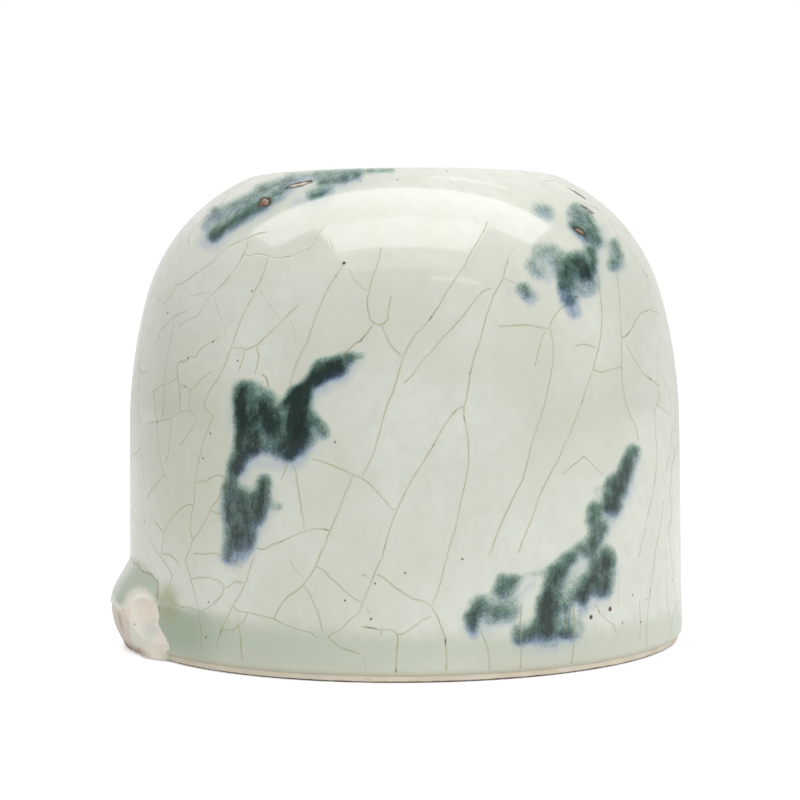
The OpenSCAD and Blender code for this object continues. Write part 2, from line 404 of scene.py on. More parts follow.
def dabs(pixels, past, strokes, soft, weight=1.0):
    """How strong and how blue the ink of soft dabs is at pixels; past keeps it from points that face away."""
    bare, blue, total = np.ones(len(pixels)), 0.0, 1e-6
    black = np.zeros(len(pixels))
    for stroke in strokes:
        start, end, half = np.array(stroke[:2]), np.array(stroke[2:4]), stroke[4]
        strength = weight * (stroke[5] if len(stroke) > 5 else 1.0)
        run = end - start
        along = np.clip((pixels - start) @ run / (run @ run + 1e-9), 0, 1)
        away = np.hypot(*(pixels - start - along[:, None] * run).T) - half + DAB_LOSS + past
        cover = np.clip((soft - away) / (2 * soft), 0, 1)
        cover = cover * cover * (3 - 2 * cover)
        bare = bare * (1 - min(strength, 1.0) * cover)
        black = np.maximum(black, max(strength - 1, 0.0) * cover)
        total = total + strength * cover
        blue = blue + strength * cover * (stroke[6] if len(stroke) > 6 else 0.0)
    return 1 - bare + black, blue / total


def splash_fields(points, normals):
    """For points of the outside: strength of the ink, of its pale halo, and blueness of the ink."""
    fields = np.zeros((len(points), 3))
    for cluster, turn in [(k, 0) for k in range(len(FRONT_SPLASHES))] + BACK_SPLASHES:
        strokes, halos, weight = FRONT_SPLASHES[cluster]
        back = np.array(Matrix.Rotation(-radians(turn), 3, "Z"))
        there, way = points @ back.T, normals @ back.T
        pixels, to_eye = seen_at(there), EYE - there
        past = TURN_LOSS * np.maximum(-np.sum(way * to_eye, axis=1) / np.linalg.norm(to_eye, axis=1), 0)
        ink, blue = dabs(pixels, past, strokes, INK_SOFT, weight)
        above, below = [dabs(pixels + step, past, strokes, INK_SOFT, weight)[0] for step in (-BLUE_STEP, BLUE_STEP)]
        blue = np.clip(blue * 0.9 + 1.1 * (above - below), 0, 1)
        wash = dabs(pixels, past, strokes, WASH_SOFT, weight)[0]
        ink = 1 - (1 - ink) * (1 - WASH_STRENGTH * wash)
        drift = dabs(pixels - DRIFT, past, strokes, DRIFT_SOFT, weight)[0]
        halo = HALO_STRENGTH * np.maximum(dabs(pixels, past, halos, HALO_SOFT)[0], drift)
        fields = np.where((ink > fields[:, 0])[:, None], np.stack([ink, fields[:, 1], blue], 1), fields)
        fields[:, 1] = np.maximum(fields[:, 1], halo)
    return fields


# Routes of the crackle, given in pixels of the photograph's frame: the darkness of each, its first point
# and the steps from point to point
CRACKS = """
1 267,232 -7,1 -11,4.5 -9,4 -11,4.5 -9,8 -8,8.5 -12,8.5 -11,8 -7,4.5 -6,1.5 -3,9 -5.5,6 -5.5,5;
1 247.5,241 -1,6.5 -3.5,7.5 -4,8 -7,10 -7.5,9.5 -7,7 -7.5,6.5 -5.5,7 -3.5,6 -1,4 -4,4.5 -6,1 -5.5,3 -5.5,5;
1 244.5,254 5.5,2 6,-2 7,0.5 6,2 7,2 7,-0.5 8.5,-2 8.5,-3.5 9,-3 3.5,-4.5 3.5,-7.5 4,-6 4.5,-5;
1 268.5,256 -2,7 -2.5,8.5 -4,10 -5,8.5 -3.5,9 -5.5,10 -5,10 -3.5,10 -3,8.5 -3,10 -4,10 -4.5,11.5 -5.5,10 -6,8.5 -5,10
  -3.5,8.5 5,5 6,5.5;
1 299,304.5 -9,8.5 -8.5,8.5 -8.5,8.5 -8.5,7.5 -5,5.5 -5,3.5 -8.5,3.5 -6,-2.5 -8.5,0.5;
1 344,264 -2.5,3.5 -6.5,10 -6.5,10 -5.5,11.5 -3.5,8.5 -5,11.5 -3.5,11 -4,13 -5.5,8.5 -6.5,16 -3.5,11.5 -2.5,11;
0.5 214.5,296 2,8.5 3,11.5 3.5,7 3,7 -1,10;
1 186,311 -5,2 -6.5,3.5 -7,6.5 -6.5,7 -3.5,10;
1 174,321.5 -2.5,11.5 -1.5,11.5 -2.5,10 -2.5,17 -0.5,13 -0.5,14.5 -1.5,14 -1,7;
0.5 189,296 11,-2 9,-1.5;
0.5 260,290 9,14.5 7,8.5 4,7;
0.5 290,320 4,10 2,11.5;
1 488,221.5 -4,10 -5.5,10 -4.5,7.5 -5.5,8.5 -4.5,10 -6,8.5 -6.5,8.5 -6,8.5 -5.5,11.5 -4.5,6.5 -5.5,8 -7,8.5 -7.5,7
  -7,11.5 -5.5,11.5 -3,10 -3,11.5 -4,12.5 -4.5,11 -4.5,12 -3.5,14.5 -3.5,12.5 -4,13 -6,13 -5.5,9;
1 491.5,288 -8.5,3.5 -8,8.5 -6.5,9 -7,9 -8.5,9.5 -9,8.5 -12.5,15.5 -10,10 -8.5,13 -9,8.5;
1 515.5,246 -5.5,8.5 -4.5,13 -2.5,11.5 -4,7 -5,8.5 -4,11.5 -3.5,10 -3,11.5 -3,11.5 -6.5,18.5 -4,17 -2,14.5 -1.5,10
  -2.5,7.5 -0.5,8 3,14.5 2,12.5 0,17.5 -1.5,15.5 -3,14.5 -2.5,8.5 -3.5,17 -3,15.5 -5,14.5 -3.5,13 -3,12.5 -3,13
  -3.5,11.5 -5,10;
1 503,278 8.5,3.5 8.5,4.5;
1 381.5,247.5 -1.5,8.5 -3.5,11.5 -4.5,11.5 -2.5,11 -2.5,11.5 1,10 2,8 5,4.5 6.5,1 6.5,-5 0.5,-9 1,-9.5 2,-5.5;
1 373,324.5 -6,8.5 -6.5,8 -7,4 -12.5,12;
1 381.5,325 3.5,8 5,11.5 11.5,12;
1 498.5,326.5 15.5,-1 14.5,-0.5 11.5,2.5 10,1.5;
0.5 348.5,269 5.5,11 9,9 5.5,2;
0.5 328.5,237.5 4.5,12.5;
1 598.5,276 1,14 2,14.5 0.5,11.5 -0.5,13 -2,15.5 -4,15.5 -2.5,9.5 -3.5,10.5 -4,10 -2.5,9 -3,8.5 -4.5,11.5 -3.5,10
  -5,11 -3.5,6.5 -4,11 -6.5,11.5 -6,11 -5.5,11.5 -3.5,7.5 -3.5,12.5 -5,13 -4,10 -4,8.5 -3,10;
1 616.5,269 1.5,14 1.5,14.5 0.5,14 1,14.5 0.5,18.5 0,13 0,10 0.5,11.5 1.5,12.5 2,10 4.5,14.5 4.5,7 2.5,8.5 1.5,10;
1 660,314.5 -10,-5 -8.5,3.5 -5,6 -5,10 -5,7 -5,2;
1 550,329 2,8.5 1.5,10 -0.5,14 -2.5,16 -3.5,15.5 -2.5,11.5 -4.5,14.5 -4.5,12.5 -4,13 -3,13 -3,11.5 -3.5,12.5 -5,8.5
  -7,14.5 -7,15.5 -4.5,10 -5.5,16 -4.5,10;
1 563,306 -7.5,8.5 -5.5,8.5 0,6;
1 544.5,331.5 -4,11.5 -1.5,6 -2.5,8.5 -1.5,8.5;
1 575,346 8,-2 8.5,2 4,1.5;
1 593,369.5 8.5,3 7,-2.5 13,-3;
1 626.5,344.5 5,10 5.5,10 6,9.5 7,5 10,7.5;
1 660.5,390 -2.5,11 -3,8 -0.5,12.5 1,14.5 1.5,11.5 -0.5,17 -1.5,14.5 -1.5,14 -5,18.5 -3,16 -4,17 -3,13;
1 658,406 6.5,4 5.5,6;
1 563,474 8.5,-8 8.5,-6 3.5,-4 5,4 6,7.5 8.5,7.5;
1 663.5,499 -2,22.5 -2,10 -4,18.5 -2.5,21.5 -3,21.5 -2,14.5 -1,17 -0.5,27;
1 665.5,546 1,35.5 0.5,21.5 3,16 1.5,14;
1 595.5,604.5 4.5,8.5 5.5,6 7.5,5.5 3.5,8.5;
0.5 618,567.5 0.5,20 0,22.5;
1 639.5,601.5 1,20 -0.5,17.5;
1.5 573,604.5 1.5,20 0,14.5 -1.5,14 -1.5,11.5;
1.5 521.5,603 -1.5,21.5 1.5,23 -1,21.5;
1 219.5,337.5 -8,4 -7.5,5 -5,3.5 -3,7.5 -6,-1.5 -2.5,3.5 -3,2 -5,0 -2.5,3.5 0.5,12.5 2,10 0.5,12.5 0,11.5;
1 177.5,378 -7.5,4.5 -8.5,2.5 -8.5,6.5 1.5,8.5 0.5,13 2.5,8.5;
1 213,371.5 -5.5,2.5 -7.5,6 -5.5,7.5 -5,2 0.5,6.5 -1,8.5 0.5,5.5 5.5,6.5;
1 189.5,389.5 -5,-3.5 -4.5,-1;
1 189.5,410 -6.5,1 -7,3.5 -6,3.5 -8.5,2 -5,2 -10.5,1;
1 157.5,421.5 0,11.5 0.5,11.5 2,14.5 2.5,8.5 5,12.5;
1 170,419 1,10 -1.5,12.5 -1.5,13 -3.5,8.5;
1 213,416 -5,13 -4,10 -4,15.5 -2.5,13 -2.5,14 -0.5,11.5 -0.5,11 -2.5,10.5 -1.5,14.5 2.5,11 -2.5,9 -2,4 -3,7 4,13
  2.5,8.5 4.5,17.5 3,14;
1 194.5,482.5 10,-1.5 7,-3.5 7.5,-3 5.5,3;
1 256.5,346.5 2.5,11 -2.5,10 -1.5,7;
1 245,350 -2.5,10 -3.5,10;
1.5 261.5,374.5 4.5,3 3,10;
1 311.5,459 8.5,1.5 11.5,4.5 11.5,5 10,4.5 7.5,3 8,5.5 8.5,8.5 10,11.5 6,7 4,-1;
1 292.5,464.5 3.5,8.5 2,14.5 2,11.5 2.5,17 2,14;
1 287.5,461.5 -3,10 -3.5,8.5;
1 164,474.5 -8,10 -6,7 -4,8.5;
1 196,421.5 -6,10 -5.5,8.5 -4.5,4.5;
1 464,406.5 -7,2.5 -8.5,10 -7,11 -8.5,16 -8.5,14 -7.5,11.5 -7,11.5 -5.5,11.5 -6,11.5 -3,7 -4,10 -3.5,11.5 -3,11.5
  -3,11.5 -5,10 -4,10 -4.5,11.5 -4,10 -3,7 -3,7 -8.5,7 -5,5 -3.5,4 -7,3.5 -7.5,4;
1 353,474.5 -3,10 -4.5,7 -4,11.5 -4.5,11.5 -5.5,13 -3.5,8.5 -3.5,10 -4.5,8.5 -4,11.5 -6,10 -7,9 -7,6.5 -8,4.5 -5.5,7
  -4.5,7 -3,6 -1,3;
1 329.5,530.5 -8,-2 -8.5,0.5 -9,2.5 -9.5,3.5 -13,6.5 -11.5,3.5 -6,5 -7.5,-2;
1 316,566 8.5,5 5,6 9,7.5 10,10 8.5,5.5 6,3;
1 303,585 5,6 5,10.5 4.5,10 3.5,13 1.5,7;
0.5 289,559 5.5,10 9.5,10;
1 232.5,606 6.5,5.5 8.5,1 11.5,2.5 15,4 7.5,4 10,4.5 8.5,2.5 10,2.5 7.5,5.5;
1.2 247.5,612.5 -3,9 -6.5,3.5 -3.5,5 -13,-0.5;
1.2 238,625 2,8 1.5,19.5 1.5,9;
1.2 221.5,629.5 -4,12 -1,10;
1 193,553 10,1.5 11.5,-1.5 11.5,3.5 8.5,5 8,6;
1 190,579.5 9,-2 11,0 9,3.5 5.5,5 -2,8.5 -5,5.5 -7.5,6.5 -11,6.5;
1 226,589 8.5,-7.5 10,1;
1 254.5,556 -4.5,11.5 -3.5,14 -6.5,13 -7.5,11.5 -5,11.5 -6,11.5;
1 226,479 -8.5,21 -7.5,9.5 -4,9.5 -6,11 -7.5,10;
1 210,509.5 6,3.5 5.5,1;
1 193,504.5 -7,0.5 -6,4.5 -7,7 -5.5,8 -3.5,8 -1,10.5 -2,10;
1 155,521.5 4.5,6 4,5;
1 149,537.5 5.5,11.5 6.5,8.5 6.5,8.5 5,10 -3.5,11.5 -4,8.5;
1 161,554 9,0.5 6,5.5 3,5;
1 165,596 8,6.5 10,5 6.5,0 9.5,5;
1 199,613 0.5,5 1.5,13.5 0,18.5;
1 361.5,574 5.5,2.5;
1 376.5,574 7.5,4 10,8.5 11.5,8 8.5,5 9,1.5 9,5.5 5,9.5 4.5,11.5 3.5,10 1.5,12.5 0,21;
1 431.5,616 -8.5,3.5 -10,8 -11,7 -5,-0.5 -5.5,-4.5 -10,0.5 -10,-2 -10,-1.5;
1.5 397,634 1,6 -1.5,16 -0.5,17;
1 381.5,630 -1,6;
1 327,636.5 6,5 7,6 8.5,2.5 11.5,4;
1 479.5,630 5,9 3.5,11 1.5,10 0,10;
0.5 365.5,606 4.5,8.5;
0.5 364.5,659 1,11
"""
# Millimetres that routes of one family stay apart, that a field reaches past a route, and within which it counts
CRACK_ROOM, CRACK_REACH, CRACK_SIDE = 3.6, 2.5, 1.3
# Distance, room inside the ends and darkness where there is no route
NO_CRACK = [9.0, -1.0, 0.0]


def crack_families():
    """Routes laid on the pot in millimetres, in groups whose routes stay clear of each other."""
    families = []
    for words in CRACKS.split(";"):
        dark, *steps = words.split()
        pixels = np.cumsum([[float(part) for part in step.split(",")] for step in steps], axis=0)
        route = np.array([on_pot(*pixel) for pixel in pixels])
        dense = np.concatenate([np.linspace(a, b, 5) for a, b in zip(route, route[1:])])
        for family in families:
            if all(np.linalg.norm(dense[:, None] - other[None], axis=2).min() > CRACK_ROOM for _, other, _ in family):
                family.append((route, dense, float(dark)))
                break
        else:
            families.append([(route, dense, float(dark))])
    return families


def crack_field(points, normals, family):
    """For points of the outside: signed distance to the nearest route of a family, how far that is
    inside its ends, and its darkness."""
    field = np.tile(NO_CRACK, (len(points), 1))
    for route, _, dark in family:
        close = (points > route.min(0) - CRACK_REACH) & (points < route.max(0) + CRACK_REACH)
        room = np.all(close, axis=1).nonzero()[0]
        start, run = route[:-1], route[1:] - route[:-1]
        length = np.linalg.norm(run, axis=1)
        offset = points[room][:, None] - start
        along = np.einsum("ijk,jk->ij", offset, run) / length ** 2
        low, high = np.zeros(len(run)), np.ones(len(run))
        low[0], high[-1] = -CRACK_REACH / length[0], 1 + CRACK_REACH / length[-1]
        offset = offset - np.clip(along, low, high)[:, :, None] * run
        away = np.linalg.norm(offset, axis=2)
        nearest = away.argmin(1)
        rows = np.arange(len(room))
        away, along, offset = away[rows, nearest], along[rows, nearest], offset[rows, nearest]
        left = np.sum(np.cross(run[nearest], offset) * normals[room], axis=1)
        inside = np.ones(len(room))
        first, last = nearest == 0, nearest == len(run) - 1
        inside[first] = (along * length[0])[first]
        inside[last] = np.minimum(inside, (1 - along) * length[-1])[last]
        inside = np.minimum(np.minimum(inside, 1.0), CRACK_SIDE - away)
        nearer = away < np.abs(field[room, 0])
        field[room[nearer]] = np.stack([np.where(left < 0, -away, away), inside, np.full(len(room), dark)], 1)[nearer]
    return field


# Iron specks in the glaze: pixel and radius in millimetres
SMALL_SPECKS = [
    (576, 297), (208.5, 602), (144, 514), (144.5, 521.5), (206, 637.5), (405, 573), (462.5, 559), (345, 600.5),
    (371, 619), (375, 583.5), (252, 291), (158.5, 300), (167.5, 313), (213, 342), (188, 358), (237.5, 360.5),
    (210.5, 433.5), (203, 458.5), (335, 442), (632.5, 595), (646.5, 599), (622.5, 622.5), (640.5, 622), (672.5, 580),
    (397.5, 179.5), (360.5, 181.5), (447, 171),
]
SPECKS = [(344, 263, 0.26), (610, 609, 0.36), (591, 617, 0.32)] + [(px, py, 0.15) for px, py in SMALL_SPECKS]
# Burst bubbles with a dark upper rim round bared clay: start and end in pixels, half width in millimetres,
# and how pale the clay is, a paleness that is partly the clay's own and partly a painted highlight
BURSTS = [
    ((569, 188.5), (584, 198), 0.42, 0.0), ((583, 207), (593, 213), 0.6, 0.7), ((575, 229), (584, 234), 0.85, 0.25),
    ((262, 199), (267, 204), 0.9, 0.3), ((289, 187), (309, 182), 0.85, 0.75),
]


def crackle(place, cell):
    """Strength of the cracks of a net with cells of about a size in millimetres."""
    loose = place.grain(0.16, output="Color")
    pushed = place.vector_maths("MULTIPLY_ADD", {0: loose, 1: (3.6, 3.6, 3.6), 2: place})
    net = place.node("ShaderNodeTexVoronoi", {"feature": "DISTANCE_TO_EDGE"},
                     {"Vector": pushed.shifted((3.1, 1.7, 5.3), (1.0, 1.0, 0.62)), "Scale": 1 / cell}, "Distance")
    return (net * cell).between(0.15, 0.02)


def reach(place, point):
    """Distance in millimetres from a point."""
    return place.vector_maths("DISTANCE", {0: place, 1: tuple(point)}, "Value")


def broad_clouds(place):
    return place.grain(0.045, 3.0, 0.6)


def glaze_ground(place):
    """Cloudy clear glaze, stained like tea at the left, greener where it is thick at the foot, in the pool
    beside the lump and on top of the lump, with a dark line along the seam there."""
    x, _, z = place.split()
    colour = broad_clouds(place).between(0.3, 0.7).over(tint(204, 207, 193), tint(216, 219, 208))
    colour = (place.grain(0.5, 3.0, 0.6).between(0.35, 0.75) * 0.35).over(colour, tint(197, 200, 186))
    uneven = place.grain(0.12) - 0.5
    tea = (reach(place, on_pot(192, 475)) + uneven * 8.0).between(19.0, 6.0)
    colour = (tea * 0.5).over(colour, tint(183, 184, 163))
    depth = x * -0.035 + 7.2 - z + uneven * 3.0 + (place.grain(0.5, 3.0) - 0.5) * 1.6
    drained = z.between(0.8, 5.0, 0.55, 1.0)
    colour = (depth.between(-1.4, 2.0) * x.between(-34.0, 20.0, 0.82, 0.52) * drained).over(colour, tint(178, 188, 168))
    pool = (reach(place, on_pot(174, 628)) + uneven * 4.0).between(14.0, 3.0) * depth.between(-0.6, 0.8) * drained
    colour = (pool * 0.66).over(colour, tint(142, 159, 132))
    olive = (reach(place, on_pot(168, 602)) + uneven * 2.0).between(4.2, 1.0)
    colour = (olive * 0.62).over(colour, tint(150, 150, 110))
    bared = (z + (place.grain(0.3, 3.0) - 0.5) * 1.2).between(2.5, 0.9)
    colour = (bared * 0.5).over(colour, tint(210, 200, 178))
    seam = (x + 36.5).most((z - 12.0 + (x + 36.5) * 0.3) * 0.9) + (place.grain(0.4, 3.0) - 0.5) * 1.6
    from_lump = reach(place, (-39.5, -21.5, 11.0))
    sage = (from_lump + uneven * 3.0).between(7.5, 3.5) * seam.between(0.15, -0.35)
    colour = (sage * 0.55).over(colour, tint(158, 174, 155))
    line = abs(seam).between(0.24, 0.06) * z.between(6.2, 7.2) * from_lump.between(9.0, 6.5)
    return (line * 0.5).over(colour, tint(122, 106, 74))


def crackled(place, colour, cracks):
    """Lays cracks, given as a strength of 0 to 1, over a colour; some are stained darker."""
    cracks = cracks * place.grain(0.35).between(0.25, 0.7, 0.3, 0.68)
    stain = place.grain(0.45).between(0.62, 0.75)
    return (cracks * (1 + stain * 0.6)).least(0.95).over(colour, stain.over(tint(166, 156, 118), tint(112, 94, 58)))


def celadon_glaze(families):
    """Glaze of the outside, with its splashes, a number of families of cracks, specks and bursts."""
    made, place = new_finish("celadon_glaze")
    _, y, z = place.split()
    colour = glaze_ground(place)

    # Cobalt: a pale blue halo, and grainy dabs from a grey green wash to nearly black
    ink, halo, blue = place.attribute("splash").split()
    grains = place.grain(4.5, 3.0, 0.65) - 0.5
    streaks = place.flattened().grain(0.55, 3.0, 0.6) - 0.5
    ragged = (place.grain(0.9, 3.0, 0.6) - 0.5) * 0.9 + grains * 1.3
    halo = (halo + ragged * halo * 0.5).between(0.05, 1.0) * 0.78
    colour = halo.over(colour, tint(164, 177, 190))
    ink = ink + ragged * ink.between(0.02, 0.35, 0.0, 0.5) + streaks * ink.between(0.3, 0.8, 0.0, 1.1)
    colour = ink.between(0.05, 0.36).over(colour, blue.over(tint(146, 166, 154), tint(148, 163, 180)))
    colour = ink.between(0.28, 0.64).over(colour, blue.over(tint(82, 108, 97), tint(84, 103, 117)))
    colour = ink.between(0.6, 0.98).over(colour, blue.over(tint(37, 53, 47), tint(39, 53, 61)))
    colour = ink.between(1.05, 1.4).over(colour, tint(25, 30, 29))

    # Crackle: drawn routes in front, and a like net behind and faintly on top
    wobble = (place.grain(1.4) - 0.5) * 0.22
    lines = []
    for k in range(families):
        off, inside, strength = place.attribute(f"crack_{k}").split()
        lines.append(abs(off + wobble).between(0.19, 0.02) * inside.between(-0.1, 0.2) * strength)
    edge = broad_clouds(place) - 0.5
    unseen = (y + edge * 6.0).between(-20.0, -16.0).most((z + edge * 2.0).between(67.0, 68.5) * 0.2)
    cracks = reduce(Value.most, lines + [crackle(place, 10.5) * unseen])
    cracks = cracks * (1 - ink.between(0.3, 0.8) * 0.7)
    colour = crackled(place, colour, cracks)

    # Iron specks and burst bubbles
    specks = reduce(Value.least, [reach(place, on_pot(px, py)) - radius for px, py, radius in SPECKS])
    colour = (specks + ragged * 0.15).between(0.1, -0.12).over(colour, tint(86, 62, 42))
    for start, end, rim_r, pale in BURSTS:
        start, end = on_pot(*start), on_pot(*end)
        run = end - start
        offset = place.vector_maths("SUBTRACT", {0: place, 1: tuple(start)})
        along = place.vector_maths("DOT_PRODUCT", {0: offset, 1: tuple(run / (run @ run))}, "Value")
        along = along.most(0.0).least(1.0)
        away = place.vector_maths("SCALE", {0: tuple(-run), "Scale": along})
        away = place.vector_maths("ADD", {0: offset, 1: away})
        bow = along * 2 - 1
        gap = place.vector_maths("LENGTH", {0: away}, "Value") + bow * bow * (0.5 * rim_r)
        gap = gap + ragged * 0.4 + (place.grain(0.8, 3.0) - 0.5) * 1.3
        colour = (gap.between(rim_r + 0.35, rim_r - 0.15) * 0.9).over(colour, tint(62, 52, 44))
        if pale:
            # Bared clay, brown below and pale cream towards its upper side: partly its own colour, partly a painted
            # highlight
            upper = away.split()[2]
            clay = (upper * 0.9 + grains * 1.6 + pale - 0.1).between(0.0, 0.7)
            clay = clay.over(tint(116, 84, 66), tint(206, 192, 174))
            colour = (gap + upper * 0.5).between(rim_r - 0.2, rim_r - 0.5).over(colour, clay)
    return close_glaze(made, place, colour, cracks)


def biscuit():
    """Bare clay of the pot, darker along the bottom edge of its foot."""
    made, place = new_finish("biscuit")
    x, y, z = place.split()
    colour = place.grain(0.25, 4.0).between(0.3, 0.7).over(tint(222, 211, 190), tint(234, 225, 208))
    colour = (place.grain(1.1, 3.0).between(0.62, 0.8) * 0.4).over(colour, tint(196, 172, 142))
    squared = x * x + y * y
    radius = squared.maths("SQRT", squared)
    # Darker brown along the bottom edge of the foot
    dark_low_edge = (z + (place.grain(0.6, 3.0) - 0.5) * 0.3).between(0.32, 0.1) * radius.between(42.2, 42.7)
    colour = dark_low_edge.over(colour, tint(86, 66, 50))
    return close_finish(made, colour, place.grain(2.5, 4.0) * 0.06, Roughness=0.75)


def clear_glaze(name, cell):
    """Glaze inside and under the base, with a net of cracks."""
    made, place = new_finish(name)
    cracks = crackle(place, cell)
    return close_glaze(made, place, crackled(place, glaze_ground(place), cracks), cracks)


def broken_biscuit():
    """White clay of the lump, with painted shade on its left facet and grey-green painted shade in its shallow dish,
    stains at its edges and one speck.
    """
    made, place = new_finish("broken_biscuit")
    x, _, z = place.split()
    rough = place.grain(0.8, 4.0, 0.6) - 0.5
    colour = place.grain(0.22, 3.0).between(0.35, 0.65).over(tint(232, 230, 217), tint(229, 221, 206))
    # Painted shade: the left facet of the lump is coloured darker and pinker
    shaded_facet = (x + 41.2 + rough * 0.6).between(0.2, -0.5)
    colour = (shaded_facet * 0.7).over(colour, tint(220, 206, 194))
    # Painted shade: the shallow dish of the broken face is coloured a darker grey green
    dish = (reach(place, on_break(148, 631)) + rough * 1.6).between(2.4, 0.6)
    colour = (dish * 0.6).over(colour, tint(198, 203, 197))
    stain = reach(place.flattened(), on_break(121.5, 619, 60, 0) * np.array(FLAT)) + rough * 0.8
    colour = (stain.between(1.3, 0.1) * 0.5).over(colour, tint(158, 122, 92))
    dark_low_edge = (z + rough * 2.4).between(1.9, 0.5) * x.between(-37.0, -40.5)
    colour = (dark_low_edge * 0.65).over(colour, tint(154, 122, 92))
    speck = reach(place, on_break(134, 624.6)) + rough * 0.3
    colour = speck.between(0.35, 0.12).over(colour, tint(74, 58, 46))
    height = place.grain(0.7, 5.0, 0.65) * 0.22 + place.grain(4.0, 3.0) * 0.03
    return close_finish(made, colour, height, Roughness=0.6)


def pooled_glaze():
    """Glaze on the lump, thin and pale towards its edge."""
    made, place = new_finish("pooled_glaze")
    thin = (place.attribute("glaze_left", "Fac") + (place.grain(0.8, 3.0) - 0.5) * 0.5).between(1.3, 0.0)
    return close_glaze(made, place, thin.over(glaze_ground(place), tint(226, 224, 209)))


# Outer coat: from the bare edge of the foot over the lip, and back against the clay
outer_section = (side(0, FOOT_R, BARE_FOOT, GLAZE_EDGE, 0.5, CLAY_FOOT_R - 0.02) + lip(LIP_R, 0, 1)[1:]
                 + lip(LIP_R - GLAZE, 1, 0) + side(GLAZE, CLAY_FOOT_R, 1.2, 0.2, 4.0, CLAY_FOOT_R - 0.05)[::-1][1:])
families = crack_families()
outer_coat = piece("outer_coat", turned(outer_section, 0.5, 0.8, True), "outer_glaze",
                   celadon_glaze(len(families)))


def put_vectors(made, name, vectors):
    """Keeps a vector for each vertex of a piece."""
    kept = made.data.attributes.new(name, "FLOAT_VECTOR", "POINT")
    kept.data.foreach_set("vector", vectors.astype(np.float32).ravel())


def vertex_vectors(items, word):
    """What foreach_get gives for the vertices of a piece, as rows of three."""
    vectors = np.empty(3 * len(items), np.float32)
    items.foreach_get(word, vectors)
    return vectors.reshape(-1, 3).astype(float)


coat_points = vertex_vectors(outer_coat.data.vertices, "co") * 1000
coat_normals = vertex_vectors(outer_coat.data.vertex_normals, "vector")
put_vectors(outer_coat, "splash", splash_fields(coat_points, coat_normals))
for k, family in enumerate(families):
    put_vectors(outer_coat, f"crack_{k}", crack_field(coat_points, coat_normals, family))

inner_section = ([[0, CLAY_FLOOR + GLAZE]]
                 + side(WALL + 2 * GLAZE, CLAY_FOOT_R - WALL - GLAZE, CLAY_FLOOR + GLAZE, FLOOR_CORNER - GLAZE, 1.2)
                 + lip(LIP_R, 2, 1)[1:] + lip(LIP_R - GLAZE, 1, 2)
                 + side(WALL + GLAZE, CLAY_FOOT_R - WALL, CLAY_FLOOR, FLOOR_CORNER, 3.0)[::-1][1:] + [[0, CLAY_FLOOR]])
piece("inner_coat", turned(inner_section, 1.6, 1.6, False), "inner_glaze",
      clear_glaze("inner_clear_glaze", 9.0))

pot_section = ([[0, RECESS]] + recess_corner(RECESS_CORNER) + [[RECESS_R, 0]]
               + side(GLAZE, CLAY_FOOT_R, 0, FOOT_EDGE, 3.0) + lip(LIP_R - GLAZE, 0, 2)[1:]
               + side(WALL + GLAZE, CLAY_FOOT_R - WALL, CLAY_FLOOR, FLOOR_CORNER, 3.0)[::-1][1:] + [[0, CLAY_FLOOR]])
piece("porcelain_pot", turned(pot_section, 1.0, 1.0, False), "porcelain_body", biscuit())

base_section = ([[0, RECESS - GLAZE]] + recess_corner(RECESS_CORNER - GLAZE)
                + [[RECESS_R - GLAZE, GLAZE], [RECESS_R, GLAZE]] + recess_corner(RECESS_CORNER)[::-1] + [[0, RECESS]])
piece("base_coat", turned(base_section, 1.2, 1.2, False), "base_glaze",
      clear_glaze("base_clear_glaze", 11.0))


# Lump of clay on the foot: a mound that flows out of the wall, snapped off towards the front
def facing(turn, tilt=0.0):
    """Direction that looks a turn to the left of the front and a tilt above level, in degrees."""
    turn, tilt = radians(turn), radians(tilt)
    return np.array([-sin(turn) * cos(tilt), -cos(turn) * cos(tilt), sin(tilt)])


# Height and how far the middle of the mound stands out of the wall there, read from its outline in the photograph
MOUND = [
    (0.3, 1.1), (0.8, 1.4), (2.4, 2.3), (3.9, 3.0), (5.5, 3.4), (7.2, 3.45), (9.2, 3.05), (10.8, 2.1), (12.9, 0.5),
    (14.0, -0.2), (15.0, -0.9), (17.0, -2.0),
]
# Turn of the mound's middle, and how many degrees it spreads to the front and to the back
MOUND_TURN, MOUND_HALF, MOUND_BACK = 71.0, 22.0, 15.0
# A point of the broken face, and where that face looks
BREAK_POINT, BREAK_TURN, BREAK_TILT = np.array([-41.05, -21.5, 5.6]), 36.6, 12.5


def on_break(px, py, turn=BREAK_TURN, tilt=BREAK_TILT):
    """Point at which the camera sees a pixel of a flat face through that point."""
    way, ray = facing(turn, tilt), sight(px, py)
    return EYE + ray * ((BREAK_POINT - EYE) @ way) / (ray @ way)


# Outline of the part of the lump that is bare of glaze, in pixels of the photograph's frame
BARE_FACE = np.array([
    (80, 601), (108, 601), (115.7, 607), (120.5, 610.5), (127, 607.5), (131, 599.5), (137, 593), (145, 593.5),
    (153, 602), (159.5, 613), (163.5, 624), (165.8, 636), (166, 648), (163.5, 657), (160, 680), (80, 680),
])


def bare_inside(pixel):
    """How far inside that outline a pixel is, in pixels; negative outside it."""
    ends = np.roll(BARE_FACE, -1, axis=0)
    runs = ends - BARE_FACE
    along = np.clip(np.sum((pixel - BARE_FACE) * runs, axis=1) / np.sum(runs * runs, axis=1), 0, 1)
    gap = np.min(np.linalg.norm(pixel - BARE_FACE - along[:, None] * runs, axis=1))
    rise = np.where(runs[:, 1] == 0, 1.0, runs[:, 1])
    level = (BARE_FACE[:, 1] > pixel[1]) != (ends[:, 1] > pixel[1])
    crossed = level & (pixel[0] < BARE_FACE[:, 0] + (pixel[1] - BARE_FACE[:, 1]) / rise * runs[:, 0])
    return gap if np.sum(crossed) % 2 else -gap


def smooth_part(value):
    """Smooth step from 0 to 1."""
    value = min(max(value, 0.0), 1.0)
    return value * value * (3 - 2 * value)


def ripple(point, scale):
    """Noise from -1 to 1, with scale in grains per millimetre."""
    return noise.noise(Vector(point * scale))


